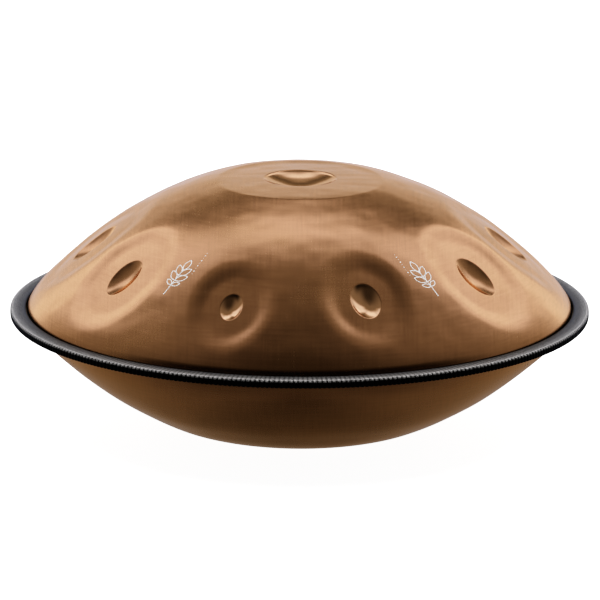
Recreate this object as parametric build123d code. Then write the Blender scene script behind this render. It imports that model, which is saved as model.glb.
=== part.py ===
from build123d import *
import math
import os

# Handpan: two pressed steel shells glued flange to flange, with a push-on rubber edge trim.
# Millimetres, +Z up. The origin is the centre of the flat base, on the floor. The front, where the
# smallest tone fields are, faces -Y. Bearings run from the front towards +X.

# Driving dimensions
sheet = 1.2                     # steel thickness of both shells
glue_gap = 0.8                  # adhesive between the two flanges
seam_height = 105.5             # middle of the glue line above the floor
flange_radius = 266.0
wall_radius = 253.6             # where the shell walls meet their flanges
bend_radius = 1.5               # outside fillet between wall and flange

# Ding, the centre note on top
ding_height = 124.2             # rim of its dimple above the seam
ding_field_radius = 77.0
ding_field_drop = 1.9           # fall from the dimple's rim to the edge of the field
ding_crown = (55.0, 0.6)        # a point between them: its radius, and how far it has fallen
ding_dimple_radius = 33.5
ding_dimple_depth = 11.5

# Gu port, the hole in the base
port_radius = 52.0
port_bend = 6.0                 # outside radius where the base turns up into the neck
port_neck_top = 17.0
base_flat_radius = 96.0

# Edge trim
trim_radius = 270.0
trim_height = 7.6
trim_leg_end = 255.5            # where the legs stop, just short of the dome walls
trim_corner = 1.5
trim_slack = 0.2                # between the flange edge and the bottom of the channel
trim_joint_width = 0.4          # butt joint of the strip's two ends, at the rear
carrier_sheet = 0.5             # slotted steel strip inside the rubber
carrier_inset = 0.85            # from the flange face to the steel
carrier_corner = 0.9
carrier_teeth = 130
carrier_tooth_share = 0.6       # part of each pitch that is steel
carrier_slot_length = 6.0       # from the legs' free edge
carrier_cover = 1.6             # rubber between the steel and the rim's outer face
carrier_leg_cover = 1.2         # rubber beyond the legs' free edge
carrier_end_gap = 1.5           # steel stops this far from the butt joint

# Tone fields: bearing, centre radius, half width across the shell, half width of the dimple, and
# the rise from the field's edge to the dimple's rim as a share of the dish depth
field_aspect = 1.28             # length along the shell's slope over width across it
tone_fields = [
    (-17.3, 207.2, 38.0, 10.3, 0.25),
    (17.3, 201.2, 41.0, 13.8, 0.25),
    (-54.0, 199.2, 47.0, 15.2, 0.35),
    (55.0, 197.5, 48.0, 16.4, 0.35),
    (-87.4, 192.6, 51.0, 18.2, 0.65),
    (88.0, 192.7, 52.0, 18.4, 0.65),
    (-132.0, 189.0, 56.0, 19.2, 0.45),
    (132.0, 189.0, 56.0, 19.4, 0.45),
    (180.0, 187.0, 60.0, 20.6, 0.45),
]
field_recess = 1.4              # step down from the dome to the field's edge
field_edge_slope = 20.0         # degrees, of the step's wall
field_edge_round = 22.0         # radius between the field and the step's wall
dimple_depth_share = 0.31       # depth over half width
dimple_bowl = (0.52, 0.72)      # a point on its wall: share of the half width, share of the depth
dome_bend_radius = 318.0        # mean radius of the dome's curvature where the fields are
tool_height = 25.0              # how far a pressing tool reaches above the dome

half_glue = glue_gap / 2
flange_face = half_glue + sheet

# Outer outlines as (radius, height from the seam), outside the ding field and outside the base
dome_outline = [
    (ding_field_radius, ding_height - ding_field_drop),
    (101.6, 115.1),
    (133.8, 102.4),
    (165.8, 85.1),
    (192.6, 65.9),
    (216.7, 45.7),
    (235.4, 28.3),
    (247.7, 14.4),
    (252.4, 7.6),
    (wall_radius, flange_face + bend_radius),
]
bowl_outline = [
    (base_flat_radius, -seam_height),
    (112.0, -104.2),
    (133.8, -97.3),
    (160.5, -82.9),
    (187.3, -65.8),
    (214.0, -44.9),
    (234.0, -27.2),
    (247.0, -13.6),
    (252.2, -7.4),
    (wall_radius, -flange_face - bend_radius),
]


def curve_through(points, first_tangent, last_tangent):
    return Spline(*points, tangents=(first_tangent, last_tangent))


def inward(curve, side):
    """Points one sheet thickness from a curve, on its right (side -1) or left (side 1)."""
    steps = 24
    points = []
    for i in range(steps + 1):
        at = curve @ (i / steps)
        along = curve % (i / steps)
        points.append((at.X - side * along.Y * sheet, at.Y + side * along.X * sheet))
    return points


def lathe(edges):
    """Turns a closed outline, drawn as x = radius and y = height from the seam, about the Z axis."""
    outline = Plane.XZ * make_face(Wire(edges))
    return Pos(0, 0, seam_height) * revolve(outline, Axis.Z)


def dome_curve():
    return curve_through(dome_outline, (1, -0.19), (0.12, -1))


def bowl_curve():
    return curve_through(bowl_outline, (1, 0), (0.12, 1))


def dome_solid():
    """The ding side as if it were solid, with its flange."""
    dome = dome_curve()
    ding_edge = dome @ 0
    rim = (ding_dimple_radius, ding_height)
    crown = (ding_crown[0], ding_height - ding_crown[1])
    bend = RadiusArc(dome @ 1, (wall_radius + bend_radius, flange_face), bend_radius)
    edges = [
        curve_through([(0, ding_height - ding_dimple_depth), rim], (1, 0), (1, 0.5)),
        ThreePointArc(rim, crown, ding_edge),
        dome,
        bend,
        *Polyline(
            bend @ 1,
            (flange_radius, flange_face),
            (flange_radius, half_glue),
            (0, half_glue),
            (0, ding_height - ding_dimple_depth),
        ).edges(),
    ]
    return lathe(edges)


def dome_hollow():
    """The space inside the ding side, one sheet thickness in from its outer face."""
    inside = inward(dome_curve(), -1)
    wall = Spline(*inside)
    rim = (ding_dimple_radius, ding_height - sheet)
    crown = (ding_crown[0], ding_height - ding_crown[1] - sheet)
    bottom = (0, ding_height - ding_dimple_depth - sheet)
    bend = RadiusArc(wall @ 1, (wall_radius + bend_radius, half_glue), bend_radius + sheet)
    below = half_glue - sheet
    edges = [
        curve_through([bottom, rim], (1, 0), (1, 0.5)),
        ThreePointArc(rim, crown, wall @ 0),
        wall,
        bend,
        *Polyline(bend @ 1, (wall_radius + bend_radius, below), (0, below), bottom).edges(),
    ]
    return lathe(edges)


def pressing_tool(half_width, dimple_half_width, dish_depth, crown_share):
    """Solid above one tone field: the dimple, the nearly flat field around it and the step's wall."""
    edge_level = -dish_depth
    rim_level = edge_level + crown_share * dish_depth
    dimple_depth = dimple_depth_share * dimple_half_width
    slope = math.radians(field_edge_slope)
    wall_run = tool_height / math.tan(slope)
    dimple = ThreePointArc(
        (0, rim_level - dimple_depth),
        (dimple_half_width * dimple_bowl[0], rim_level - dimple_depth * dimple_bowl[1]),
        (dimple_half_width, rim_level),
    )
    outline = Polyline(
        dimple @ 1,
        (half_width, edge_level),
        (half_width + wall_run, edge_level + tool_height),
        (0, edge_level + tool_height),
        dimple @ 0,
    )
    face = make_face(Wire([dimple, *outline.edges()]))
    corner = face.vertices().sort_by_distance((half_width, edge_level))[0]
    face = fillet(corner, field_edge_round)
    turned = revolve(Plane.XZ * face, Axis.Z)
    return scale(turned, by=(1, field_aspect, 1))


def field_plane(bearing, radius):
    """Plane on the dome's outer face: +Z along the outward normal, +Y down the slope."""
    dome = dome_curve()
    low, high = 0.0, 1.0
    for _ in range(40):
        middle = (low + high) / 2
        if (dome @ middle).X < radius:
            low = middle
        else:
            high = middle
    at = dome @ low
    along = dome % low
    turn = math.radians(bearing)
    out = Vector(math.sin(turn), -math.cos(turn), 0)
    down_slope = out * along.X + Vector(0, 0, along.Y)
    normal = out * -along.Y + Vector(0, 0, along.X)
    origin = out * at.X + Vector(0, 0, seam_height + at.Y)
    return Plane(origin=origin, x_dir=down_slope.cross(normal), z_dir=normal)


def dish_depth(half_width):
    """Depth of a field's edge below the tangent plane at its centre, where the dome has fallen away."""
    mean_half = half_width * (1 + field_aspect) / 2
    return mean_half ** 2 / (2 * dome_bend_radius) + field_recess


def top_shell():
    outer = dome_solid()
    inner = dome_hollow()
    for bearing, radius, half_width, dimple_half_width, crown_share in tone_fields:
        depth = dish_depth(half_width)
        tool = pressing_tool(half_width, dimple_half_width, depth, crown_share)
        plane = field_plane(bearing, radius)
        outer = outer - plane * tool
        inner = inner - plane * Pos(0, 0, -sheet) * tool
    return outer - inner


def bottom_shell():
    bowl = bowl_curve()
    bend_out = RadiusArc(bowl @ 1, (wall_radius + bend_radius, -flange_face), -bend_radius)
    inner_bowl = Spline(*inward(bowl, 1))
    bend_in = RadiusArc(
        inner_bowl @ 1, (wall_radius + bend_radius, -half_glue), -bend_radius - sheet
    )
    floor = -seam_height
    neck_foot = floor + port_bend
    neck_top = floor + port_neck_top
    port_out = RadiusArc((port_radius, neck_foot), (port_radius + port_bend, floor), -port_bend)
    port_in = RadiusArc(
        (port_radius + sheet, neck_foot), (port_radius + port_bend, floor + sheet), sheet - port_bend
    )
    edges = [
        Line((port_radius + port_bend, floor), bowl @ 0),
        bowl,
        bend_out,
        *Polyline(
            bend_out @ 1,
            (flange_radius, -flange_face),
            (flange_radius, -half_glue),
            bend_in @ 1,
        ).edges(),
        bend_in,
        inner_bowl,
        Line(inner_bowl @ 0, (port_radius + port_bend, floor + sheet)),
        port_in,
        *Polyline(
            (port_radius + sheet, neck_foot),
            (port_radius + sheet, neck_top),
            (port_radius, neck_top),
            (port_radius, neck_foot),
        ).edges(),
        port_out,
    ]
    return lathe(edges)


def flange_adhesive():
    """Glue ring that fills the gap between the flanges, with a small bead squeezed out inside."""
    bead_radius = wall_radius + bend_radius - 1.0
    outer_radius = flange_radius - 0.3
    bead = ThreePointArc(
        (bead_radius, -half_glue), (bead_radius - half_glue, 0), (bead_radius, half_glue)
    )
    outline = Polyline(
        bead @ 1,
        (outer_radius, half_glue),
        (outer_radius, -half_glue),
        bead @ 0,
    )
    return lathe([bead, *outline.edges()])


def channel_outline(inner_radius, outer_radius, inside_half, outside_half, web_inside, corner):
    """U section open towards the axis: two flat legs and a web, with rounded outer corners."""
    with BuildSketch() as section:
        with BuildLine():
            Polyline(
                (inner_radius, inside_half),
                (web_inside, inside_half),
                (web_inside, -inside_half),
                (inner_radius, -inside_half),
                (inner_radius, -outside_half),
                (outer_radius, -outside_half),
                (outer_radius, outside_half),
                (inner_radius, outside_half),
                close=True,
            )
        make_face()
        fillet(section.vertices().group_by(Axis.X)[-1], corner)
    return section.sketch


def rubber_section():
    return channel_outline(
        trim_leg_end,
        trim_radius,
        flange_face,
        trim_height / 2,
        flange_radius + trim_slack,
        trim_corner,
    )


def carrier_section():
    leg_inside = flange_face + carrier_inset
    web_outside = trim_radius - carrier_cover
    return channel_outline(
        trim_leg_end + carrier_leg_cover,
        web_outside,
        leg_inside,
        leg_inside + carrier_sheet,
        web_outside - carrier_sheet,
        carrier_corner,
    )


def around_from_rear(section, gap_width):
    """Turns a section about Z, leaving a gap of the given width at the rear, where +Y is."""
    gap_angle = math.degrees(gap_width / trim_radius)
    start = Rot(0, 0, 90 + gap_angle / 2) * (Plane.XZ * section)
    return Pos(0, 0, seam_height) * revolve(start, Axis.Z, 360 - gap_angle)


def rim_trim():
    return around_from_rear(rubber_section() - carrier_section(), trim_joint_width)


def trim_carrier():
    """U-shaped steel strip with slots across both legs, so that it bends around the rim."""
    strip = around_from_rear(carrier_section(), trim_joint_width + 2 * carrier_end_gap)
    pitch = 360 / carrier_teeth
    slot_width = math.radians(pitch) * trim_radius * (1 - carrier_tooth_share)
    slot_centre = trim_leg_end + carrier_slot_length / 2
    slot = Box(carrier_slot_length, slot_width, trim_height)
    slots = [
        Rot(0, 0, 90 + i * pitch) * Pos(slot_centre, 0, seam_height) * slot
        for i in range(carrier_teeth)
    ]
    return strip - slots


def trim_end_glue():
    """Thin glue film that closes the butt joint between the strip's two ends."""
    joint_angle = math.degrees(trim_joint_width / trim_radius)
    start = Rot(0, 0, 90 - joint_angle / 2) * (Plane.XZ * rubber_section())
    return Pos(0, 0, seam_height) * revolve(start, Axis.Z, joint_angle)


os.makedirs("parts", exist_ok=True)
nodes = {
    "top_shell": top_shell,
    "bottom_shell": bottom_shell,
    "flange_adhesive": flange_adhesive,
    "rim_trim": rim_trim,
    "trim_carrier": trim_carrier,
    "trim_end_glue": trim_end_glue,
}
for name, build in nodes.items():
    export_step(build(), f"parts/{name}.step")
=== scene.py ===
import math

import bmesh
import bpy
import numpy as np
from mathutils import Matrix, Vector
from mathutils.geometry import delaunay_2d_cdt


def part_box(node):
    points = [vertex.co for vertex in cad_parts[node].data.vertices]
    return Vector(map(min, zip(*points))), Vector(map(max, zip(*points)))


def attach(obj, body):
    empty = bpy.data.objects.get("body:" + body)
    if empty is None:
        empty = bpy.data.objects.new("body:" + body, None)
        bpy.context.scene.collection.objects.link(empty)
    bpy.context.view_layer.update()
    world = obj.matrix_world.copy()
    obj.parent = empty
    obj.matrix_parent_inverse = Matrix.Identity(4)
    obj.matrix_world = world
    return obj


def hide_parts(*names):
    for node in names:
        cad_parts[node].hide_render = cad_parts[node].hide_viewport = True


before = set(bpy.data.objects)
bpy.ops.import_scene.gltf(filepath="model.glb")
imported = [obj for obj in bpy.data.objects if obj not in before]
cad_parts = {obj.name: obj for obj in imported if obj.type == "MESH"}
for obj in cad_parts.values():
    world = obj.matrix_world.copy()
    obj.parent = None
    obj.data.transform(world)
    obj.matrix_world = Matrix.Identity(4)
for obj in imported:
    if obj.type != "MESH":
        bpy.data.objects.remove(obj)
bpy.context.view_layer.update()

MM = 0.001
SHEET = 1.2                 # steel thickness, mm

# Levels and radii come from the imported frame, in mm
adhesive_low, adhesive_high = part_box("flange_adhesive")
trim_low, trim_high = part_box("rim_trim")
_, top_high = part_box("top_shell")
SEAM = (adhesive_low.z + adhesive_high.z) / 2 / MM
FLANGE_RADIUS = top_high.y / MM
HALF_GLUE = (adhesive_high.z - adhesive_low.z) / 2 / MM
FLANGE_FACE = HALF_GLUE + SHEET
TRIM_RADIUS = trim_high.x / MM
TRIM_HALF = (trim_high.z - trim_low.z) / 2 / MM

# Outer outline of the note shell, radius and height above the seam, mm
DING_RIM = 34.0
DING_DEPTH = 10.0
DING_SHINE = 0.7
DING_BELLY = 0.35           # extra depth of the dimple's wall, just inside its rim
DING_BELLY_RISE = (0.5, 0.8)        # where that belly starts, in shares of the rim's radius
DING_BELLY_FALL = (0.94, 1.0)
DING_REACH = 1.6            # the dimple's lip has died out by this share of the rim's radius
DISC_RADIUS = 77.0          # crease round the flat disc that holds the ding
RIGHT_LIFT = 1.1            # the right flank is a little fuller than the left
RIGHT_RING = ((105.0, 150.0), (225.0, 250.0))       # radii where that lift comes in and goes out
CROWN_LIFT = 4.0            # extra height at the back of the ring round the ding field
CROWN_RING = ((63.0, 98.0), (104.0, 168.0))
DOME_POINTS = [
    (0.0, 124.5), (20.0, 124.45), (DING_RIM, 124.25), (55.0, 123.55), (66.0, 122.95), (71.0, 122.6),
    (75.0, 122.3), (77.2, 122.06), (78.4, 121.8), (79.8, 121.42), (82.0, 120.8), (86.0, 119.6),
    (93.5, 117.3), (101.6, 114.75), (117.0, 109.15), (133.8, 102.3), (150.0, 94.2), (165.8, 85.05),
    (180.0, 75.6), (192.6, 65.9), (205.0, 55.9), (216.7, 45.7), (226.5, 36.7), (235.4, 28.0),
    (242.2, 21.0), (247.7, 14.4), (251.3, 9.2), (253.1, 5.8), (253.6, 3.1),
]
WALL_RADIUS = 253.6
BEND_RADIUS = 1.5
FLANGE_MIDDLE = 260.0       # a radius about half way across the flange
FLANGE_ROUND = 0.3          # rounding of the flange's edge
DOME_BEND_RADIUS = 318.0    # mean curvature radius where the tone fields are

# Tone fields: bearing from the front in degrees, centre radius, half width across, half width
# and depth of the dimple, how polished it is, and the share of the dome's bulge the field keeps
FIELDS = [
    (-17.3, 207.2, 37.0, 10.3, 3.7, 1.0, 0.25),
    (17.3, 201.2, 40.0, 13.8, 4.9, 1.0, 0.25),
    (-54.0, 199.2, 46.5, 15.2, 5.4, 0.15, 0.50),
    (55.0, 197.5, 48.0, 16.4, 5.8, 0.15, 0.50),
    (-87.4, 192.6, 51.0, 18.2, 6.6, 0.0, 0.85),
    (88.0, 192.7, 52.0, 18.4, 6.6, 0.0, 0.90),
    (-132.0, 189.0, 56.0, 19.2, 6.6, 0.1, 0.50),
    (132.0, 189.0, 56.0, 19.4, 6.6, 0.1, 0.50),
    (180.0, 187.0, 60.0, 20.6, 6.8, 0.1, 0.50),
]
FIELD_ASPECT = 1.28
DIMPLE_ASPECT = 1.40
FIELD_RECESS = 2.0
# where the wall of the step starts and ends, in shares of the field's half width
SOFT_STEP = (0.62, 1.14)
CRISP_STEP = (0.70, 1.12)
STEP_MARGIN = 0.05          # how far past the step a field still acts, in the same shares
DIMPLE_LIP = 0.2
DIMPLE_FADE = (1.2, 1.6)    # where the dimple's lip dies out, in shares of its half width
POLISH_EDGE = (0.94, 1.02)
FAR_SIDE = -60.0            # points this far below a field's plane are on the dome's other side
CRISP_CROWN = 0.4           # fields that keep more of the dome's bulge have the crisper step


def smoothstep(low, high, x):
    t = np.clip((x - low) / (high - low), 0.0, 1.0)
    return t * t * (3 - 2 * t)


class Profile:
    """A smooth curve through (radius, height) points, by arc length."""

    def __init__(self, points):
        self.knots = np.array(points, float)
        steps = np.hypot(*np.diff(self.knots, axis=0).T)
        self.at = np.concatenate([[0.0], np.cumsum(steps)])
        self.length = self.at[-1]
        self.second = self._second_derivatives()

    def _second_derivatives(self):
        n = len(self.at)
        h = np.diff(self.at)
        matrix = np.zeros((n, n))
        right = np.zeros((n, 2))
        matrix[0, 0] = matrix[-1, -1] = 1.0
        for i in range(1, n - 1):
            matrix[i, i - 1] = h[i - 1]
            matrix[i, i] = 2 * (h[i - 1] + h[i])
            matrix[i, i + 1] = h[i]
            ahead = (self.knots[i + 1] - self.knots[i]) / h[i]
            behind = (self.knots[i] - self.knots[i - 1]) / h[i - 1]
            right[i] = 6 * (ahead - behind)
        return np.linalg.solve(matrix, right)

    def __call__(self, s):
        """Points and unit normals (left of the direction of travel) at arc lengths s."""
        s = np.atleast_1d(np.clip(s, 0.0, self.length))
        i = np.clip(np.searchsorted(self.at, s, side="right") - 1, 0, len(self.at) - 2)
        h = (self.at[i + 1] - self.at[i])[:, None]
        a = (self.at[i + 1][:, None] - s[:, None]) / h
        b = 1.0 - a
        point = (
            a * self.knots[i]
            + b * self.knots[i + 1]
            + ((a**3 - a) * self.second[i] + (b**3 - b) * self.second[i + 1]) * h**2 / 6
        )
        slope = (
            (self.knots[i + 1] - self.knots[i]) / h
            + ((1 - 3 * a**2) * self.second[i] + (3 * b**2 - 1) * self.second[i + 1]) * h / 6
        )
        slope /= np.linalg.norm(slope, axis=1)[:, None]
        normal = np.stack([-slope[:, 1], slope[:, 0]], 1)
        return point, normal

    def at_radius(self, radius):
        s = np.linspace(0, self.length, 4000)
        return float(np.interp(radius, self(s)[0][:, 0], s))


DOME = Profile(DOME_POINTS)
RING_ARCS = np.linspace(0.0, DOME.length, 2000)
RING_RADII = DOME(RING_ARCS)[0][:, 0]


def around(radius, height, bearing):
    """Points in mm from radius, height above the seam and bearing from the front."""
    return np.stack([radius * np.sin(bearing), -radius * np.cos(bearing), height + SEAM], -1)


def turned(vector, bearing):
    """Directions from (outward, up) components and bearings."""
    return np.stack(
        [vector[:, 0] * np.sin(bearing), -vector[:, 0] * np.cos(bearing), vector[:, 1]], -1
    )


class Ripple:
    """Seeded sum of plane waves, the gentle unevenness that hammering leaves."""

    def __init__(self, seed, shortest, longest, amplitude, count=40):
        rng = np.random.default_rng(seed)
        lengths = np.exp(rng.uniform(math.log(shortest), math.log(longest), count))
        directions = rng.normal(size=(count, 3))
        directions /= np.linalg.norm(directions, axis=1)[:, None]
        self.waves = directions * (2 * math.pi / lengths)[:, None]
        self.phases = rng.uniform(0, 2 * math.pi, count)
        self.weights = lengths / longest * amplitude * math.sqrt(2.0 / count)

    def __call__(self, points):
        total = np.zeros(len(points))
        for wave, phase, weight in zip(self.waves, self.phases, self.weights):
            total += weight * np.sin(points @ wave + phase)
        return total


class Field:
    """One tone field's own frame on the dome, and the shape it is hammered to."""

    def __init__(self, bearing, radius, half_width, dimple_half_width, depth, shine, crown):
        self.bearing = math.radians(bearing)
        self.s = DOME.at_radius(radius)
        point, normal = DOME(self.s)
        turn = np.array([self.bearing])
        self.centre = around(point[:, 0], point[:, 1], turn)[0]
        self.normal = turned(normal, turn)[0]
        self.across = np.array([math.cos(self.bearing), math.sin(self.bearing), 0.0])
        self.down = np.cross(self.across, self.normal)
        self.half_width = half_width
        self.half_length = half_width * FIELD_ASPECT
        self.dimple_width = dimple_half_width
        self.dimple_length = dimple_half_width * DIMPLE_ASPECT
        mean_half = (self.half_width + self.half_length) / 2
        own_bulge = mean_half**2 / (2 * DOME_BEND_RADIUS)
        self.crown = crown
        self.step = CRISP_STEP if crown > CRISP_CROWN else SOFT_STEP
        self.drop = FIELD_RECESS + (1 - crown) * own_bulge
        self.depth = depth
        self.shine = shine

    def local(self, points):
        d = points - self.centre
        return d @ self.across, d @ self.down, d @ self.normal

    def press(self, points, start):
        """Moves points of the plain dome, start, onto the hammered field."""
        u, v, w = self.local(start)
        rho = np.hypot(u / self.half_width, v / self.half_length)
        near = (rho < self.step[1] + STEP_MARGIN) & (w > FAR_SIDE)
        inside = 1.0 - smoothstep(*self.step, rho)
        wanted = -self.drop + self.crown * w
        dimple = np.hypot(u / self.dimple_width, v / self.dimple_length)
        bowl = -self.depth * (1 - dimple**2)
        bowl = (bowl - np.sqrt(bowl**2 + DIMPLE_LIP**2)) / 2
        wanted = wanted + bowl * (1 - smoothstep(*DIMPLE_FADE, dimple))
        shift = np.where(near, inside * (wanted - w), 0.0)
        return points + shift[:, None] * self.normal

    def polish(self, start):
        """How polished points of the plain dome get: nothing outside the dimple."""
        u, v, w = self.local(start)
        dimple = np.hypot(u / self.dimple_width, v / self.dimple_length)
        return np.where(w > FAR_SIDE, self.shine * (1 - smoothstep(*POLISH_EDGE, dimple)), 0.0)


fields = [Field(*row) for row in FIELDS]
DISC_STRETCH = np.array([0.3, 1.0, 1.0])    # the disc's unevenness is drawn out sideways
body_ripple = Ripple(11, 28.0, 90.0, 0.16)
field_ripple = Ripple(12, 14.0, 34.0, 0.07)
disc_ripple = Ripple(13, 9.0, 24.0, 0.05)
DISC_RIPPLE_EDGE = (70.0, 76.0)             # radii over which it dies out
WALL_CALM = 25.0                            # all unevenness dies out over this near the flange
DING_CALM = (0.7, 1.1)                      # and over these shares of the ding's rim radius


def ding_bowl(radius):
    """Depth of the centre dimple below the disc around it: a bowl that steepens at its rim."""
    x = radius / DING_RIM
    bowl = -DING_DEPTH * (1 - x**2)
    bowl -= DING_BELLY * smoothstep(*DING_BELLY_RISE, x) * (1 - smoothstep(*DING_BELLY_FALL, x))
    return np.where(x < DING_REACH, -(np.sqrt(bowl**2 + DIMPLE_LIP**2) - bowl) / 2, 0.0)


def ring_share(limits, radius):
    """1 on a ring of the dome, fading out between each pair of radii."""
    rises, falls = limits
    return smoothstep(*rises, radius) * (1 - smoothstep(*falls, radius))


def plain_dome(s, bearing):
    """Radii, points and outward directions of the dome before anything is pressed into it."""
    point, normal = DOME(s)
    radius = point[:, 0]
    start = around(radius, point[:, 1], bearing)
    rearward = ((1 - np.cos(bearing)) / 2) ** 2
    rightward = np.clip(np.sin(bearing), 0.0, 1.0) ** 3
    start[:, 2] += CROWN_LIFT * ring_share(CROWN_RING, radius) * rearward
    start[:, 2] += RIGHT_LIFT * ring_share(RIGHT_RING, radius) * rightward
    return radius, start, turned(normal, bearing)


def note_surface(s, bearing, inset=0.0):
    """Outer face of the note shell at arc length s from the pole and a bearing, mm."""
    radius, start, out = plain_dome(s, bearing)
    moved = start.copy()
    moved[:, 2] += ding_bowl(radius)
    for field in fields:
        moved = field.press(moved, start)
    calm = smoothstep(DOME.length, DOME.length - WALL_CALM, s)
    calm *= smoothstep(DING_RIM * DING_CALM[0], DING_RIM * DING_CALM[1], radius)
    ripple = body_ripple(start) + field_ripple(start)
    ripple += disc_ripple(start * DISC_STRETCH) * (1 - smoothstep(*DISC_RIPPLE_EDGE, radius))
    return moved + out * (ripple * calm - inset)[:, None]


def polish_at(s, bearing):
    """1 where the shell is polished, in the dimples."""
    radius, start, _ = plain_dome(s, bearing)
    total = DING_SHINE * (1 - smoothstep(*POLISH_EDGE, radius / DING_RIM))
    for field in fields:
        total = total + field.polish(start)
    return total


def mesh_object(name, vertices, faces, material, smooth=True):
    mesh = bpy.data.meshes.new(name)
    mesh.from_pydata([tuple(v) for v in np.asarray(vertices) * MM], [], [tuple(f) for f in faces])
    mesh.update()
    if smooth:
        mesh.polygons.foreach_set("use_smooth", [True] * len(mesh.polygons))
    mesh.materials.append(material)
    piece = bpy.data.objects.new(name, mesh)
    bpy.context.scene.collection.objects.link(piece)
    return piece


def set_amount(piece, name, values):
    """Stores one number per vertex for the piece's material to read."""
    amount = piece.data.attributes.new(name, "FLOAT", "POINT")
    amount.data.foreach_set("value", np.asarray(values, np.float32))


def clean_mesh(piece):
    """Drops the vertices that no face uses and turns every face outwards."""
    work = bmesh.new()
    work.from_mesh(piece.data)
    loose = [v for v in work.verts if not v.link_faces]
    bmesh.ops.delete(work, geom=loose, context="VERTS")
    bmesh.ops.recalc_face_normals(work, faces=work.faces)
    work.to_mesh(piece.data)
    work.free()


def ring_strip(first, second, count, closed=True):
    """Quads between two rings of vertex indices."""
    quads = []
    for i in range(count if closed else count - 1):
        j = (i + 1) % count
        quads.append((first + i, first + j, second + j, second + i))
    return quads


# ---- note shell

ROUND = 600                 # points round the dome
PATCH_ROUND = 112           # points round one dimple's patch
PATCH_GAP = 1.2             # mm left open between the grid and a patch, for the stitching
HOLE_REACH = 1.2            # a patch's open cells all lie within this share of its field
SLIVER = 1e-3               # smallest useful stitching triangle, twice its area in mm2
CDT_EPSILON = 1e-7          # tolerance of the triangulation


def note_rings():
    """Arc lengths of the grid's rings, closer together at the ding's dimple and crease."""
    rim = DOME.at_radius(DING_RIM)
    crease = DOME.at_radius(DISC_RADIUS)
    parts = [
        np.linspace(1.2, rim - 4, 12, endpoint=False),
        np.linspace(rim - 4, rim + 4, 14, endpoint=False),
        np.linspace(rim + 4, crease - 6, 16, endpoint=False),
        np.linspace(crease - 6, crease + 8, 12, endpoint=False),
        np.linspace(crease + 8, DOME.length, 100),
    ]
    return np.concatenate(parts)


def patch_rings():
    """Dimple patch rings in shares of the dimple's half width, closest at its edge."""
    return np.concatenate([
        np.linspace(0.08, 0.82, 9, endpoint=False),
        np.linspace(0.82, 1.14, 12, endpoint=False),
        np.linspace(1.14, 1.7, 7),
    ])


def flat(s, bearing):
    """Map of the dome onto a plane, by arc length from the pole."""
    return np.stack([s * np.sin(bearing), -s * np.cos(bearing)], -1)


def patch_points(field):
    """Arc lengths and bearings of one patch: its centre, then ring after ring."""
    angles = np.arange(PATCH_ROUND) * 2 * math.pi / PATCH_ROUND
    u = [np.zeros(1)]
    v = [np.zeros(1)]
    for share in patch_rings():
        u.append(share * field.dimple_width * np.cos(angles))
        v.append(share * field.dimple_length * np.sin(angles))
    u = np.concatenate(u)
    v = np.concatenate(v)
    start = field.centre + u[:, None] * field.across + v[:, None] * field.down
    bearing = np.arctan2(start[:, 0], -start[:, 1])
    radius = np.hypot(start[:, 0], start[:, 1])
    # slide along the field's normal onto the dome
    s_table = np.linspace(0, DOME.length, 3000)
    points, normals = DOME(s_table)
    offset = (
        (radius[:, None] - points[:, 0][None, :]) * normals[:, 1][None, :]
        - (start[:, 2][:, None] - SEAM - points[:, 1][None, :]) * normals[:, 0][None, :]
    )
    s = s_table[np.argmin(np.abs(offset), axis=1)]
    return s, bearing


def note_outer_face():
    """The dome's grid, a finer patch at each dimple and the triangles stitching them in."""
    rings = note_rings()
    bearing = np.arange(ROUND) * 2 * math.pi / ROUND
    s_grid = np.repeat(rings, ROUND)
    b_grid = np.tile(bearing, len(rings))
    vertices = [note_surface(np.zeros(1), np.zeros(1)), note_surface(s_grid, b_grid)]
    polish = [polish_at(np.zeros(1), np.zeros(1)), polish_at(s_grid, b_grid)]
    total = 1 + len(s_grid)
    start_points = around(*DOME(s_grid)[0].T, b_grid)
    patch_limit = patch_rings()[-1]
    blocked = np.zeros(len(s_grid), bool)
    for field in fields:
        u, v, w = field.local(start_points)
        reach_across = field.dimple_width * patch_limit + PATCH_GAP
        reach_down = field.dimple_length * patch_limit + PATCH_GAP
        share = np.hypot(u / reach_across, v / reach_down)
        blocked |= (share < 1.0) & (w > FAR_SIDE)
    grid = blocked.reshape(len(rings), ROUND)
    faces = [(0, 1 + (i + 1) % ROUND, 1 + i) for i in range(ROUND)]
    open_cell = np.zeros((len(rings) - 1, ROUND), bool)
    for r in range(len(rings) - 1):
        for i in range(ROUND):
            j = (i + 1) % ROUND
            if grid[r, i] or grid[r, j] or grid[r + 1, i] or grid[r + 1, j]:
                open_cell[r, i] = True
                continue
            a = 1 + r * ROUND
            b = a + ROUND
            faces.append((a + i, a + j, b + j, b + i))
    flat_grid = flat(s_grid, b_grid)
    for field in fields:
        s, b = patch_points(field)
        vertices.append(note_surface(s, b))
        polish.append(polish_at(s, b))
        flat_patch = flat(s, b)
        first = total
        ring = first + 1
        faces += [(first, ring + i, ring + (i + 1) % PATCH_ROUND) for i in range(PATCH_ROUND)]
        for _ in range(len(patch_rings()) - 1):
            faces += ring_strip(ring, ring + PATCH_ROUND, PATCH_ROUND)
            ring += PATCH_ROUND
        outer = [ring + i for i in range(PATCH_ROUND)]
        hole = hole_loop(field, open_cell, start_points)
        faces += stitched(hole, outer, flat_grid, flat_patch, first)
        total += len(s)
    return vertices, faces, total, rings, np.concatenate(polish)


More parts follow.
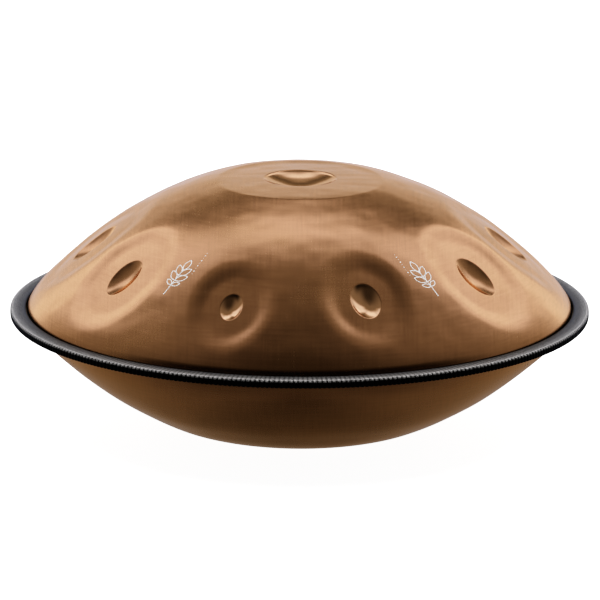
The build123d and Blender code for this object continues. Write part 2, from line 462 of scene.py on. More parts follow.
def hole_loop(field, open_cell, start_points):
    """Ordered grid vertices round the cells left open for one field's patch."""
    rows, columns = np.nonzero(open_cell)
    cells = set()
    for r, i in zip(rows, columns):
        u, v, w = field.local(start_points[r * ROUND + i][None])
        share = math.hypot(u[0] / field.half_width, v[0] / field.half_length)
        if w[0] > FAR_SIDE and share < HOLE_REACH:
            cells.add((int(r), int(i)))
    edges = {}
    for r, i in cells:
        j = (i + 1) % ROUND
        before = (i - 1) % ROUND
        if (r - 1, i) not in cells:
            edges[(r, i)] = (r, j)
        if (r, j) not in cells:
            edges[(r, j)] = (r + 1, j)
        if (r + 1, i) not in cells:
            edges[(r + 1, j)] = (r + 1, i)
        if (r, before) not in cells:
            edges[(r + 1, i)] = (r, i)
    start = next(iter(edges))
    loop = [start]
    while edges[loop[-1]] != start:
        loop.append(edges[loop[-1]])
    return [1 + r * ROUND + i for r, i in loop]


def stitched(hole, outer, flat_grid, flat_patch, first):
    """Triangles between the hole in the grid and the patch's outermost ring."""
    points = [Vector(flat_grid[k - 1]) for k in hole]
    points += [Vector(flat_patch[k - first]) for k in outer]
    names = hole + outer
    n, m = len(hole), len(outer)
    edges = [(i, (i + 1) % n) for i in range(n)] + [(n + i, n + (i + 1) % m) for i in range(m)]
    places, _, triangles, origins, *_ = delaunay_2d_cdt(points, edges, [], 0, CDT_EPSILON)
    kept = []
    for face in triangles:
        corners = [origins[k][0] for k in face]
        if all(c >= n for c in corners):
            continue
        middle = sum((places[k] for k in face), Vector((0, 0))) / len(face)
        a, b, c = (places[k] for k in face)
        if abs((b - a).cross(c - a)) < SLIVER:
            continue
        if inside_loop(middle, points[:n]) and not inside_loop(middle, points[n:]):
            kept.append(tuple(names[c] for c in corners))
    return kept


def inside_loop(point, loop):
    inside = False
    for a, b in zip(loop, loop[1:] + loop[:1]):
        if (a.y > point.y) != (b.y > point.y):
            if point.x < (b.x - a.x) * (point.y - a.y) / (b.y - a.y) + a.x:
                inside = not inside
    return inside


def arc(centre, radius, start, end, count):
    """Points of an arc in the radius-height plane; angles in degrees from the outward direction."""
    angles = np.radians(np.linspace(start, end, count))
    return [(centre[0] + radius * math.cos(a), centre[1] + radius * math.sin(a)) for a in angles]


def flange_outline():
    """Points from the foot of the note shell's wall, over its flange and back inside."""
    edge = FLANGE_ROUND
    bend = (WALL_RADIUS + BEND_RADIUS, FLANGE_FACE + BEND_RADIUS)
    points = arc(bend, BEND_RADIUS, 180, 270, 8)[1:]
    points += [(FLANGE_MIDDLE, FLANGE_FACE)]
    points += arc((FLANGE_RADIUS - edge, FLANGE_FACE - edge), edge, 90, 0, 4)
    points += arc((FLANGE_RADIUS - edge, HALF_GLUE + edge), edge, 0, -90, 4)
    points += [(FLANGE_MIDDLE, HALF_GLUE)]
    points += arc(bend, BEND_RADIUS + SHEET, 270, 180, 8)
    return points


def build_note_shell(material):
    vertices, faces, total, rings, polish = note_outer_face()
    bearing = np.arange(ROUND) * 2 * math.pi / ROUND
    previous = 1 + (len(rings) - 1) * ROUND
    for radius, height in flange_outline():
        vertices.append(around(np.full(ROUND, radius), np.full(ROUND, height), bearing))
        faces += ring_strip(previous, total, ROUND)
        previous = total
        total += ROUND
    inside = np.concatenate([np.linspace(DOME.length - 2, 40, 64), np.linspace(36, 2, 14)])
    for s in inside:
        vertices.append(note_surface(np.full(ROUND, s), bearing, inset=SHEET))
        faces += ring_strip(previous, total, ROUND)
        previous = total
        total += ROUND
    vertices.append(note_surface(np.zeros(1), np.zeros(1), inset=SHEET))
    faces += [(previous + i, previous + (i + 1) % ROUND, total) for i in range(ROUND)]
    piece = mesh_object("note_shell", np.concatenate(vertices), faces, material)
    set_amount(piece, "polish", np.concatenate([polish, np.zeros(total + 1 - len(polish))]))
    clean_mesh(piece)
    return piece


# ---- bottom shell

BOWL_POINTS = [
    (96.0, -105.5), (104.0, -105.15), (112.0, -104.1), (122.5, -101.6), (133.8, -97.3), (147.0, -90.7),
    (160.5, -82.9), (173.9, -74.8), (187.3, -65.8), (200.7, -55.7), (214.0, -45.0), (227.4, -33.3),
    (236.5, -24.9), (244.0, -16.9), (249.8, -10.0), (252.8, -5.6), (253.6, -3.1),
]
BASE_RINGS = (84.0, 70.0)   # extra rings across the flat base
PORT_RADIUS = 52.0
PORT_BEND = 6.0
NECK_TOP = 17.0
NECK_RING = 5.0             # an extra ring this far below the neck's top
BOWL_ROUND = 480
BOWL_RINGS = 70
BOWL_BASE_CALM = ((1.0, 12.0), (90.0, 110.0))       # heights, then radii, over which unevenness starts
BOWL_WALL_CALM = (251.0, 235.0)                     # radii over which it dies out at the flange
BOWL_CENTRE = 60.0          # how far above the seam the bowl's outward directions start


def bowl_outline():
    """Closed radius-height outline of the bottom shell's sheet."""
    floor = -SEAM
    bowl = Profile(BOWL_POINTS)
    s = np.linspace(0, bowl.length, BOWL_RINGS)
    outer, normal = bowl(s)
    inner = outer + normal * SHEET
    points = [tuple(p) for p in outer]
    points += [(radius, -height) for radius, height in flange_outline()]
    points += [tuple(p) for p in inner[::-1][1:]]
    points += [(radius, floor + SHEET) for radius in BASE_RINGS]
    turn = (PORT_RADIUS + PORT_BEND, floor + PORT_BEND)
    points += arc(turn, PORT_BEND - SHEET, 270, 180, 10)
    top = floor + NECK_TOP
    half = SHEET / 2
    points += [(PORT_RADIUS + SHEET, top - NECK_RING)]
    points += arc((PORT_RADIUS + half, top - half), half, 0, 180, 9)
    points += [(PORT_RADIUS, top - NECK_RING)]
    points += arc(turn, PORT_BEND, 180, 270, 12)
    points += [(radius, floor) for radius in reversed(BASE_RINGS)]
    return points


def bowl_wave(vertices):
    """Moves the bowl's points in and out by the unevenness of its sheet."""
    ripple = Ripple(21, 30.0, 110.0, 0.12)
    height = vertices[:, 2]
    radius = np.hypot(vertices[:, 0], vertices[:, 1])
    heights, radii = BOWL_BASE_CALM
    calm = smoothstep(*heights, height) * smoothstep(*BOWL_WALL_CALM, radius)
    calm *= smoothstep(*radii, radius)
    out = vertices - np.array([0, 0, SEAM + BOWL_CENTRE])
    out /= np.linalg.norm(out, axis=1)[:, None]
    return vertices + out * (ripple(vertices) * calm)[:, None]


def build_bowl(material):
    count = BOWL_ROUND
    bearing = np.arange(count) * 2 * math.pi / count
    outline = bowl_outline()
    rings = [around(np.full(count, r), np.full(count, z), bearing) for r, z in outline]
    vertices = bowl_wave(np.concatenate(rings))
    faces = []
    n = len(outline)
    for k in range(n):
        faces += ring_strip(k * count, ((k + 1) % n) * count, count)
    piece = mesh_object("bowl_shell", vertices, faces, material)
    clean_mesh(piece)
    return piece


# ---- rim trim

RIBS = 400
RIB_DEPTH = 0.9
# one rib: share of the pitch, share of the depth
RIB_STEPS = [(0.0, 0.3), (0.12, 0.0), (0.48, 0.0), (0.60, 0.3), (0.68, 1.0), (0.92, 1.0)]
LEG_END = 255.5
LEG_MIDDLE = 261.0          # a radius about half way along the legs' inner faces
LEG_FACE = (257.5, 262.0)   # radii of the rings on the legs' outer faces
TRIM_CORNER = 2.0
TRIM_TOE = 0.4              # rounding of the legs' free ends
TRIM_SLACK = 0.2            # between the flange edge and the bottom of the channel
CORNER_RING = 1.2           # an extra ring this far in from where the corner starts
WEB_RING = 1.4              # height of the rings on the outer face
JOINT_WIDTH = 0.4
RIB_OUTER = 264.0           # the outer face and its corners lie beyond this radius
RIB_LEG_RADIAL = 0.55       # share of a groove's depth taken off the radius on the legs
RIB_WEB_LEVEL = 0.35        # share of it taken off the height beyond RIB_OUTER
RIB_FLAT_HALF = 1.0         # none is taken off the height this close to the seam


def trim_outline():
    """Radius-height points of the U section, how deep the ribs are cut there, and how light grey it is
    there: worn on the rib crests, plus painted light across the top face that peaks as a painted
    highlight on the outer corner.
    """
    inner = FLANGE_FACE
    outer = TRIM_HALF
    corner = TRIM_CORNER
    toe = TRIM_TOE
    web = FLANGE_RADIUS + TRIM_SLACK
    leg_near, leg_far = LEG_FACE
    points = []

    def add(new, rib, wear_and_highlight=0.0):
        points.extend((r, z, rib, wear_and_highlight) for r, z in new)

    add([(web, inner)], 0.0)
    add([(LEG_MIDDLE, inner)], 0.0)
    add(arc((LEG_END + toe, inner + toe), toe, 270, 180, 3), 0.0)
    add(arc((LEG_END + toe, outer - toe), toe, 180, 90, 4), 0.0)
    # the last number is the light grey: partly wear, partly painted light that grows across the top
    # face to a painted highlight on the outer corner
    add([(leg_near, outer)], 0.06, 0.14)
    add([(leg_far, outer)], 0.30, 0.28)
    add([(TRIM_RADIUS - corner - CORNER_RING, outer)], 0.22, 0.55)
    add(arc((TRIM_RADIUS - corner, outer - corner), corner, 90, 60, 3), 0.16, 0.95)
    add(arc((TRIM_RADIUS - corner, outer - corner), corner, 45, 25, 2), 0.5, 1.0)
    add([(TRIM_RADIUS, WEB_RING), (TRIM_RADIUS, -WEB_RING)], 1.0)
    add(arc((TRIM_RADIUS - corner, -outer + corner), corner, -12, -90, 7), 1.0)
    add([(TRIM_RADIUS - corner - CORNER_RING, -outer)], 0.5)
    add([(leg_far, -outer)], 0.35)
    add([(leg_near, -outer)], 0.25)
    add(arc((LEG_END + toe, -outer + toe), toe, 270, 180, 4), 0.0)
    add(arc((LEG_END + toe, -inner - toe), toe, 180, 90, 3), 0.0)
    add([(LEG_MIDDLE, -inner)], 0.0)
    add([(web, -inner)], 0.0)
    return points


def build_trim(material):
    outline = trim_outline()
    half_gap = JOINT_WIDTH / 2 / TRIM_RADIUS
    span = 2 * math.pi - 2 * half_gap
    turns, depths = [], []
    for rib in range(RIBS):
        for share, depth in RIB_STEPS:
            turns.append(math.pi + half_gap + span * (rib + share) / RIBS)
            depths.append(depth)
    turns.append(math.pi + half_gap + span)
    depths.append(0.0)
    turns, depths = np.array(turns), np.array(depths)
    rows = []
    wear_and_highlight = []
    for radius, height, rib, crest in outline:
        cut = RIB_DEPTH * rib * depths
        at_web = radius > RIB_OUTER
        radial = 1.0 if abs(height) < TRIM_HALF - TRIM_TOE and at_web else RIB_LEG_RADIAL
        level = math.copysign(1.0, height) * (0.0 if abs(height) < RIB_FLAT_HALF else 1.0)
        r = radius - cut * radial
        z = height - cut * level * (RIB_WEB_LEVEL if at_web else 1.0)
        rows.append(around(r, z, turns))
        # lighter grey on the crests and none in the grooves: partly wear, partly the painted highlight
        wear_and_highlight.append(crest * (1 - depths * min(1.0, 0.25 + rib)))
    count = len(turns)
    vertices = np.concatenate(rows)
    faces = []
    n = len(outline)
    for k in range(n):
        faces += ring_strip(k * count, ((k + 1) % n) * count, count, closed=False)
    faces.append(tuple(k * count for k in range(n)))
    faces.append(tuple(k * count + count - 1 for k in reversed(range(n))))
    piece = mesh_object("edge_trim", vertices, faces, material)
    set_amount(piece, "wear_and_highlight", np.concatenate(wear_and_highlight))
    clean_mesh(piece)
    return piece


# ---- marks

# Two plain leafy sprigs between the fields: bearing, radius, and which way each one leans
SPRIGS = [(-35.4, 192.0, 1.0), (36.0, 193.0, -1.0)]
STEM = [(-3.0, -18.0), (-2.2, -12.0), (-1.6, -6.5), (-0.6, -1.0), (0.6, 5.0), (1.6, 11.0)]
# leaves: stem point, turn from the stem in degrees, length
LEAVES = [
    (2, 62.0, 8.5), (2, -62.0, 8.5), (3, 50.0, 12.5), (3, -50.0, 12.5), (4, 38.0, 13.0),
    (4, -38.0, 13.0), (5, 0.0, 13.5),
]
LEAF_FULLNESS = 0.24
LEAF_BLUNTNESS = 0.8
LINE_WIDTH = 0.9
LINE_RISE = 0.05            # how far a line stands out of the shell
LINE_ROOT = 0.15            # how far it goes into it
SHELL_RUN = 0.79            # change of radius per mm down the slope where the sprigs are
SEED_DOTS = 9
SEED_START = (13.0, 9.0)    # first dot of the trail beside a sprig
SEED_RUN = (3.0, 27.0)      # from the first dot to the last
SEED_RADIUS = 0.35          # every other dot is twice as big
SEED_SIDES = 10


def leaf_line(start, turn, length):
    """Outline of one pointed leaf, closed at its own stalk."""
    t = np.linspace(0.0, 1.0, 9)
    side = LEAF_FULLNESS * length * np.sin(math.pi * t) ** LEAF_BLUNTNESS
    along = np.concatenate([t, t[::-1]]) * length
    across = np.concatenate([side, -side[::-1]])
    c, s = math.cos(turn), math.sin(turn)
    return np.stack([start[0] + along * s + across * c, start[1] + along * c - across * s], 1)


def sprig_lines():
    """The stem and the leaves of one sprig, flat, as lines of points."""
    stem = np.array(STEM)
    lines = [stem]
    last = len(stem) - 1
    for at, turn, length in LEAVES:
        ahead = stem[at + 1] - stem[at] if at < last else stem[-1] - stem[-2]
        lean = math.atan2(ahead[0], ahead[1])
        lines.append(leaf_line(stem[at], lean + math.radians(turn), length))
    return lines


def on_shell(points, bearing, radius, lean, lift):
    """Flat sprig points, mm, laid on the shell: x across, y up the slope."""
    ring = radius - SHELL_RUN * points[:, 1]
    turns = math.radians(bearing) + lean * points[:, 0] / radius
    arcs = np.interp(ring, RING_RADII, RING_ARCS)
    return note_surface(arcs, turns, -lift)


def build_sprigs(material):
    vertices, faces = [], []
    total = 0

    def add(outline_top, outline_low, loops):
        nonlocal total
        vertices.extend([outline_top, outline_low])
        faces.extend(tuple(total + i for i in loop) for loop in loops)
        total += len(outline_top) + len(outline_low)

    for bearing, radius, lean in SPRIGS:
        place = (bearing, radius, lean)
        for line in sprig_lines():
            steps = np.gradient(line, axis=0)
            steps /= np.linalg.norm(steps, axis=1)[:, None]
            side = np.stack([-steps[:, 1], steps[:, 0]], 1) * LINE_WIDTH / 2
            edges = np.concatenate([line + side, line - side])
            n = len(line)
            top, low = 0, 2 * n
            loops = []
            for i in range(n - 1):
                j = i + 1
                loops.append((top + i, top + n + i, top + n + j, top + j))
                loops.append((low + i, low + j, low + n + j, low + n + i))
                loops.append((top + i, top + j, low + j, low + i))
                loops.append((top + n + i, low + n + i, low + n + j, top + n + j))
            loops.append((top, low, low + n, top + n))
            loops.append((top + n - 1, top + 2 * n - 1, low + 2 * n - 1, low + n - 1))
            add(on_shell(edges, *place, LINE_RISE), on_shell(edges, *place, -LINE_ROOT), loops)
        for dot in range(SEED_DOTS):
            t = dot / (SEED_DOTS - 1)
            centre = np.array([s + run * t for s, run in zip(SEED_START, SEED_RUN)])
            size = SEED_RADIUS + SEED_RADIUS * (dot % 2)
            angles = np.linspace(0, 2 * math.pi, SEED_SIDES, endpoint=False)
            rim = centre + size * np.stack([np.cos(angles), np.sin(angles)], 1)
            n = len(rim)
            loops = [tuple(range(n)), tuple(reversed(range(n, 2 * n)))]
            loops += [(i, n + i, n + (i + 1) % n, (i + 1) % n) for i in range(n)]
            add(on_shell(rim, *place, LINE_RISE), on_shell(rim, *place, -LINE_ROOT), loops)
    piece = mesh_object("shell_sprigs", np.concatenate(vertices), faces, material, smooth=False)
    clean_mesh(piece)
    return piece


# ---- materials

def new_material(name):
    material = bpy.data.materials.new(name)
    material.use_nodes = True
    tree = material.node_tree
    return material, tree, tree.nodes["Principled BSDF"]


def set_inputs(node, values):
    for name, value in values.items():
        node.inputs[name].default_value = value


def maths(tree, operation, *values):
    made = tree.nodes.new("ShaderNodeMath")
    made.operation = operation
    for socket, value in zip(made.inputs, values):
        if isinstance(value, (int, float)):
            socket.default_value = value
        else:
            tree.links.new(value, socket)
    return made.outputs[0]


def streaks(tree, stretch, detail=3.0):
    """Noise drawn out into fine lines: stretch is the noise's scale along X, Y and Z, per metre."""
    where = tree.nodes.new("ShaderNodeTexCoord")
    mapping = tree.nodes.new("ShaderNodeMapping")
    set_inputs(mapping, {"Scale": stretch})
    noise = tree.nodes.new("ShaderNodeTexNoise")
    set_inputs(noise, {"Scale": 1.0, "Detail": detail, "Roughness": 0.6})
    tree.links.new(where.outputs["Object"], mapping.inputs["Vector"])
    tree.links.new(mapping.outputs["Vector"], noise.inputs["Vector"])
    return noise.outputs["Fac"]


def ramp(tree, source, stops):
    made = tree.nodes.new("ShaderNodeValToRGB")
    elements = made.color_ramp.elements
    while len(elements) < len(stops):
        elements.new(0.5)
    for element, (position, color) in zip(elements, stops):
        element.position = position
        element.color = (*color, 1.0)
    tree.links.new(source, made.inputs["Fac"])
    return made.outputs["Color"]


NOTE_TONE = (0.78, 0.413, 0.200)
NOTE_ROUGHNESS = 0.25
BOWL_TONE = (0.86, 0.445, 0.21)
BOWL_ROUGHNESS = 0.28
PLAIN_WHITE = (1.0, 1.0, 1.0, 1.0)
POLISHED_TONE = (0.90, 0.51, 0.26, 1.0)
POLISHED_ROUGHNESS = 0.42       # share of the roughness around it
EDGE_TINT = (0.86, 0.77, 0.60, 1.0)
# Painted shade: the note shell is coloured near black just above the seam, in the crevice that the
# trim's leg shades
CREVICE_SHADE_TONE = (0.01, 0.008, 0.006, 1.0)
CREVICE_SHADE_LEVELS = (2.6, 3.4)       # mm above the seam: painted shade in the crevice under the trim, solid up to the first, none above the second
BRUSHED_RELIEF = 0.012
RUBBER_RELIEF = 0.35
RELIEF_DEPTH = 0.0003           # metres


def amount(tree, name):
    """The number that set_amount stored on the piece."""
    made = tree.nodes.new("ShaderNodeAttribute")
    made.attribute_name = name
    return made.outputs["Fac"]


def blend_colors(tree, kind, share, first, second):
    made = tree.nodes.new("ShaderNodeMix")
    made.data_type = "RGBA"
    made.blend_type = kind
    for socket, value in zip(("Factor", "A", "B"), (share, first, second)):
        if isinstance(value, (float, tuple)):
            made.inputs[socket].default_value = value
        else:
            tree.links.new(value, made.inputs[socket])
    return made.outputs["Result"]


def falling(tree, value, low, high):
    """1 up to low, falling smoothly to 0 at high."""
    made = tree.nodes.new("ShaderNodeMapRange")
    made.interpolation_type = "SMOOTHSTEP"
    set_inputs(made, {"From Min": low, "From Max": high, "To Min": 1.0, "To Max": 0.0})
    tree.links.new(value, made.inputs["Value"])
    return made.outputs["Result"]


def low_shade_mask(tree, low, high):
    """Mask for painted shade: 1 up to the height low, falling to 0 at the height high; metres."""
    where = tree.nodes.new("ShaderNodeTexCoord")
    split = tree.nodes.new("ShaderNodeSeparateXYZ")
    tree.links.new(where.outputs["Object"], split.inputs["Vector"])
    return falling(tree, split.outputs["Z"], low, high)


def emboss(tree, shader, relief, strength):
    bump = tree.nodes.new("ShaderNodeBump")
    set_inputs(bump, {"Strength": strength, "Distance": RELIEF_DEPTH})
    tree.links.new(relief, bump.inputs["Height"])
    tree.links.new(bump.outputs["Normal"], shader.inputs["Normal"])


def bronze(name, tone, roughness, with_crevice_shade):
    """Satin bronze steel, brushed both ways and polished in the dimples; painted near-black shade in
    the crevice by the trim.
    """
    material, tree, shader = new_material(name)
    up_lines = streaks(tree, (620.0, 22.0, 22.0))
    level_lines = streaks(tree, (18.0, 60.0, 640.0))
    clouds = streaks(tree, (9.0, 9.0, 9.0), detail=4.0)
    grain = streaks(tree, (900.0, 900.0, 900.0), detail=1.0)
    weave = maths(tree, "ADD", up_lines, level_lines)
    weave = maths(tree, "MULTIPLY", weave, 0.5)
    color = ramp(tree, clouds, [
        (0.30, tuple(0.88 * c for c in tone)),
        (0.50, tone),
        (0.72, (tone[0] * 1.05, tone[1] * 1.06, tone[2] * 1.02)),
    ])
    shade = ramp(tree, weave, [(0.34, (0.87, 0.86, 0.85)), (0.60, (1.0, 1.0, 1.0))])
    color = blend_colors(tree, "MULTIPLY", 1.0, color, shade)
    polish = amount(tree, "polish")
    color = blend_colors(tree, "MIX", polish, color, POLISHED_TONE)
    # painted shade darkens the shell in the crevice just above the seam
    if with_crevice_shade:
        crevice_shade = low_shade_mask(tree, *((SEAM + level) * MM for level in CREVICE_SHADE_LEVELS))
        color = blend_colors(tree, "MIX", crevice_shade, color, CREVICE_SHADE_TONE)
    tree.links.new(color, shader.inputs["Base Color"])
    set_inputs(shader, {"Metallic": 1.0, "Specular Tint": EDGE_TINT})
    varied = maths(tree, "MULTIPLY_ADD", weave, 0.10, roughness - 0.05)
    varied = maths(tree, "ADD", varied, -0.05)
    varied = maths(tree, "MULTIPLY_ADD", clouds, 0.10, varied)
    smoother = maths(tree, "MULTIPLY_ADD", polish, POLISHED_ROUGHNESS - 1.0, 1.0)
    tree.links.new(maths(tree, "MULTIPLY", varied, smoother), shader.inputs["Roughness"])
    relief = maths(tree, "MULTIPLY_ADD", grain, 0.3, weave)
    emboss(tree, shader, relief, BRUSHED_RELIEF)
    return material


def rubber(name):
    """Black rubber, greyed by handling on the crests of its ribs, with painted light on its top face
    and a painted highlight on its top outer corner.
    """
    material, tree, shader = new_material(name)
    speckle = streaks(tree, (1100.0, 1100.0, 1100.0), detail=2.0)
    dark = ramp(tree, speckle, [(0.35, (0.003,) * 3), (0.65, (0.010,) * 3)])
    # light grey of worn rubber, which also makes the painted highlight on the top outer corner
    worn_and_lit = ramp(tree, speckle, [(0.38, (0.13, 0.126, 0.123)), (0.62, (0.55, 0.53, 0.52))])
    color = blend_colors(tree, "MIX", amount(tree, "wear_and_highlight"), dark, worn_and_lit)
    tree.links.new(color, shader.inputs["Base Color"])
    rough = maths(tree, "MULTIPLY_ADD", speckle, 0.2, 0.40)
    tree.links.new(rough, shader.inputs["Roughness"])
    set_inputs(shader, {"Specular IOR Level": 0.16})
    emboss(tree, shader, speckle, RUBBER_RELIEF)
    return material


def mottled(name, stretch, dark, light, roughness, metallic=0.0, detail=3.0):
    """A plain material whose colour wanders between two tones."""
    material, tree, shader = new_material(name)
    noise = streaks(tree, stretch, detail)
    color = ramp(tree, noise, [(0.35, dark), (0.65, light)])
    tree.links.new(color, shader.inputs["Base Color"])
    set_inputs(shader, {"Metallic": metallic, "Roughness": roughness})
    return material


# ---- stage

FLOOR_GLOW = 1.5            # a lit table top, so that the shadow on it stays pale
FLOOR_HALF = 40.0           # metres
FLOOR_LAMP_PLACE = (0.0, 0.6, 6.0)
FLOOR_LAMP_SIZE = 8.0
FLOOR_LAMP_POWER = 620.0
FLOOR_LAMP_AIM = (0, 0, 0.1)


def pale_floor():
    material, tree, shader = new_material("pale_floor")
    output = tree.nodes["Material Output"]
    soft = streaks(tree, (1.5, 1.5, 1.5))
    color = ramp(tree, soft, [(0.3, (0.90, 0.90, 0.90)), (0.7, (0.92, 0.92, 0.92))])
    tree.links.new(color, shader.inputs["Base Color"])
    set_inputs(shader, {"Roughness": 0.9, "Specular IOR Level": 0.0})
    set_inputs(shader, {"Emission Color": PLAIN_WHITE, "Emission Strength": FLOOR_GLOW})
    clear = tree.nodes.new("ShaderNodeBsdfTransparent")
    geometry = tree.nodes.new("ShaderNodeNewGeometry")
    mix = tree.nodes.new("ShaderNodeMixShader")
    tree.links.new(geometry.outputs["Backfacing"], mix.inputs["Fac"])
    tree.links.new(shader.outputs["BSDF"], mix.inputs[1])
    tree.links.new(clear.outputs["BSDF"], mix.inputs[2])
    tree.links.new(mix.outputs["Shader"], output.inputs["Surface"])
    mesh = bpy.data.meshes.new("floor")
    corners = [(x * FLOOR_HALF, y * FLOOR_HALF, 0) for x, y in ((-1, -1), (1, -1), (1, 1), (-1, 1))]
    mesh.from_pydata(corners, [], [(0, 1, 2, 3)])
    mesh.materials.append(material)
    floor = bpy.data.objects.new("floor", mesh)
    bpy.context.scene.collection.objects.link(floor)
    floor.visible_glossy = False
    floor.visible_diffuse = False


def window(tree, value, centre, flat_half, fade):
    """1 within flat_half of centre, falling smoothly to 0 over fade."""
    away = maths(tree, "ABSOLUTE", maths(tree, "SUBTRACT", value, centre))
    return falling(tree, away, flat_half, flat_half + fade)


# Soft lights round the object, left-right symmetrical. Degrees: bearing from straight behind,
# elevation, half width, half height, then how far each fades out; last comes the strength.
SOFT_LIGHTS = [
    (0.0, 20.0, 76.0, 33.0, 90.0, 60.0, 0.22),      # room walls
    (0.0, 9.4, 0.0, 12.8, 80.0, 6.0, 0.63),         # backdrop
    (34.3, 18.2, 0.0, 9.5, 10.6, 17.5, 0.87),       # backdrop's bright wings
    (46.9, 44.3, 8.5, 7.6, 13.2, 20.7, 0.85),       # softboxes at the sides
    (0.0, 54.6, 12.0, 6.0, 34.0, 14.0, 1.06),       # overhead softbox
    (0.0, -13.2, 25.0, 7.3, 41.0, 24.8, 0.26),      # table in front of the backdrop
    (37.0, -41.5, 13.3, 45.6, 6.0, 24.0, 0.08),     # table at the sides
    (0.0, 90.0, 180.0, 0.1, 1.0, 26.0, 0.095),      # ceiling
]
AMBIENT = 0.062
# Dark flags, in the same order: between the backdrop and the overhead softbox, round the camera
DARK_FLAGS = [
    (0.0, 43.0, 26.0, 4.3, 10.0, 8.0, 0.66),
    (180.0, 5.0, 55.0, 28.0, 45.0, 14.0, 0.88),
]
STEEP_FILL = 0.34           # extra light from all round, per unit of steepness
STEEP_FROM = 0.96           # cosine of the steepest view that gets none of it
BACKDROP_WHITE = 4.0        # brightness of the backdrop that only the camera sees
COOL_LIGHT = (1.0, 1.08, 1.44)      # tint of the bright lights; dim walls stay neutral
COOL_FROM = 0.35
COOL_TO = 0.80


def camera_axis(tree, axis):
    """World components of one of the camera's own axes."""
    made = tree.nodes.new("ShaderNodeVectorTransform")
    made.vector_type = "VECTOR"
    made.convert_from = "CAMERA"
    made.convert_to = "WORLD"
    made.inputs["Vector"].default_value = axis
    split = tree.nodes.new("ShaderNodeSeparateXYZ")
    tree.links.new(made.outputs["Vector"], split.inputs["Vector"])
    return split.outputs


def patch_of_sky(tree, bearing, elevation, place):
    centre, height, half_b, half_e, fade_b, fade_e = place
    across = window(tree, bearing, centre, half_b, fade_b)
    upward = window(tree, elevation, height, half_e, fade_e)
    return maths(tree, "MULTIPLY", across, upward)


def studio_world():
    world = bpy.data.worlds.new("studio")
    bpy.context.scene.world = world
    world.use_nodes = True
    tree = world.node_tree
    background = tree.nodes["Background"]
    where = tree.nodes.new("ShaderNodeTexCoord")
    split = tree.nodes.new("ShaderNodeSeparateXYZ")
    tree.links.new(where.outputs["Generated"], split.inputs["Vector"])
    x, y, z = split.outputs
    # the lights stand round whichever side is being looked at, so bearings turn with the camera
    right_x, right_y, _ = camera_axis(tree, (1.0, 0.0, 0.0))
    sideways = maths(tree, "MULTIPLY", y, right_y)
    sideways = maths(tree, "MULTIPLY_ADD", x, right_x, sideways)
    away = maths(tree, "SUBTRACT", maths(tree, "MULTIPLY", y, right_x),
                 maths(tree, "MULTIPLY", x, right_y))
    degree = 180 / math.pi
    bearing = maths(tree, "ARCTAN2", sideways, away)
    bearing = maths(tree, "MULTIPLY", bearing, degree)
    bearing = maths(tree, "ABSOLUTE", bearing)
    elevation = maths(tree, "MULTIPLY", maths(tree, "ARCSINE", z), degree)
    total = AMBIENT
    for *place, strength in SOFT_LIGHTS:
        lit = patch_of_sky(tree, bearing, elevation, place)
        total = maths(tree, "MULTIPLY_ADD", lit, strength, total)
    for *place, strength in DARK_FLAGS:
        hidden = patch_of_sky(tree, bearing, elevation, place)
        passed = maths(tree, "MULTIPLY_ADD", hidden, -strength, 1.0)
        total = maths(tree, "MULTIPLY", total, passed)
    # views from well above or below get a little more light, from every direction alike
    level = camera_axis(tree, (0.0, 1.0, 0.0))[2]
    steepness = maths(tree, "SUBTRACT", STEEP_FROM, level)
    steepness = maths(tree, "MAXIMUM", steepness, 0.0)
    total = maths(tree, "MULTIPLY_ADD", steepness, STEEP_FILL, total)
    path = tree.nodes.new("ShaderNodeLightPath")
    share = maths(tree, "SUBTRACT", total, COOL_FROM)
    share = maths(tree, "DIVIDE", share, COOL_TO - COOL_FROM)
    share = maths(tree, "MINIMUM", maths(tree, "MAXIMUM", share, 0.0), 1.0)
    share = maths(tree, "MULTIPLY", share, path.outputs["Is Glossy Ray"])
    tint = blend_colors(tree, "MIX", share, PLAIN_WHITE, (*COOL_LIGHT, 1.0))
    tree.links.new(tint, background.inputs["Color"])
    # the camera itself sees a white backdrop
    seen = maths(tree, "MULTIPLY", path.outputs["Is Camera Ray"], BACKDROP_WHITE)
    tree.links.new(maths(tree, "MAXIMUM", total, seen), background.inputs["Strength"])


# Contrast of the finished picture: a firm toe and a long shoulder
WHITE = 1.6                 # scene brightness that prints white
TOE = 1.45
SHOULDER = 0.40


def printed(light):
    """Print brightness, 0 to 1, of a scene brightness given as a share of WHITE."""
    return (1 + SHOULDER) * light**TOE / (SHOULDER + light**TOE)


def develop():
    settings = bpy.context.scene.view_settings
    settings.view_transform = "Standard"
    settings.use_curve_mapping = True
    mapping = settings.curve_mapping
    mapping.white_level = (WHITE, WHITE, WHITE)
    curve = mapping.curves[3]
    for halvings in range(1, 8):
        light = 0.5**halvings
        curve.points.new(light, printed(light))
        curve.points.new(0.75 * light, printed(0.75 * light))
    mapping.update()


def floor_lamp():
    """A large soft lamp overhead, which the shells don't reflect."""
    light = bpy.data.lights.new("floor_fill", "AREA")
    light.shape = "DISK"
    light.size = FLOOR_LAMP_SIZE
    light.energy = FLOOR_LAMP_POWER
    lamp = bpy.data.objects.new("floor_fill", light)
    lamp.location = FLOOR_LAMP_PLACE
    downwards = Vector(FLOOR_LAMP_AIM) - Vector(FLOOR_LAMP_PLACE)
    lamp.rotation_euler = downwards.to_track_quat("-Z", "Y").to_euler()
    lamp.visible_glossy = False
    bpy.context.scene.collection.objects.link(lamp)


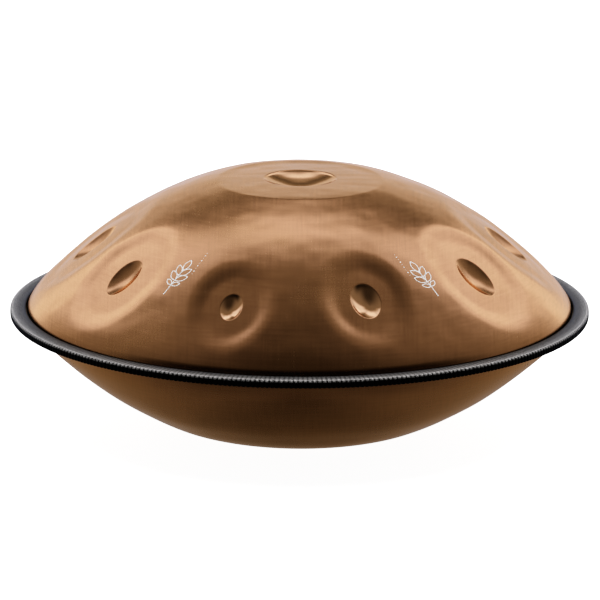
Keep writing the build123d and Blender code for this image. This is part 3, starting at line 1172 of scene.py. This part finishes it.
CAMERA_ELEVATION = math.radians(14.56)
CAMERA_ROLL = math.radians(0.268)
CAMERA_DISTANCE = 4.28
CAMERA_LENS = 274.8
CAMERA_SENSOR = 36.0
CAMERA_SHIFT = (0.0007, 0.0127)


def photo_camera():
    target = Vector((0, 0, SEAM * MM))
    back = Vector((0, -math.cos(CAMERA_ELEVATION), math.sin(CAMERA_ELEVATION)))
    data = bpy.data.cameras.new("camera")
    data.lens = CAMERA_LENS
    data.sensor_width = CAMERA_SENSOR
    data.shift_x, data.shift_y = CAMERA_SHIFT
    camera = bpy.data.objects.new("camera", data)
    bpy.context.scene.collection.objects.link(camera)
    look = (-back).to_track_quat("-Z", "Y").to_matrix().to_4x4()
    roll = Matrix.Rotation(CAMERA_ROLL, 4, "Z")
    camera.matrix_world = Matrix.Translation(target + back * CAMERA_DISTANCE) @ look @ roll
    bpy.context.scene.camera = camera


note_steel = bronze("note_shell_bronze", NOTE_TONE, NOTE_ROUGHNESS, True)
bowl_steel = bronze("bowl_bronze", BOWL_TONE, BOWL_ROUGHNESS, False)
black_rubber = rubber("trim_rubber")
carrier_steel = mottled(
    "carrier_steel", (60.0, 60.0, 900.0), (0.40, 0.40, 0.41), (0.62, 0.62, 0.64), 0.35, metallic=1.0
)
glue = mottled("adhesive", (400.0,) * 3, (0.05, 0.045, 0.04), (0.10, 0.095, 0.085), 0.5)
# the pale frosted silver of the sprigs' etched lines
etched_silver = mottled(
    "etched_silver", (900.0,) * 3, (0.80, 0.79, 0.77), (0.95, 0.94, 0.93), 0.35, detail=2.0
)

pieces = [
    (build_note_shell(note_steel), "top_shell", "note_shell_steel"),
    (build_sprigs(etched_silver), None, "note_shell_steel"),
    (build_bowl(bowl_steel), "bottom_shell", "bowl_steel"),
    (build_trim(black_rubber), "rim_trim", "trim_rubber"),
]
for piece, replaced, slot in pieces:
    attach(piece, "root")
    if replaced:
        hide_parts(replaced)

hidden_pieces = {
    "flange_adhesive": glue,
    "trim_carrier": carrier_steel,
    "trim_end_glue": glue,
}
for name, material in hidden_pieces.items():
    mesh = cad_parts[name].data
    mesh.materials.clear()
    mesh.materials.append(material)

pale_floor()
studio_world()
floor_lamp()
photo_camera()
develop()
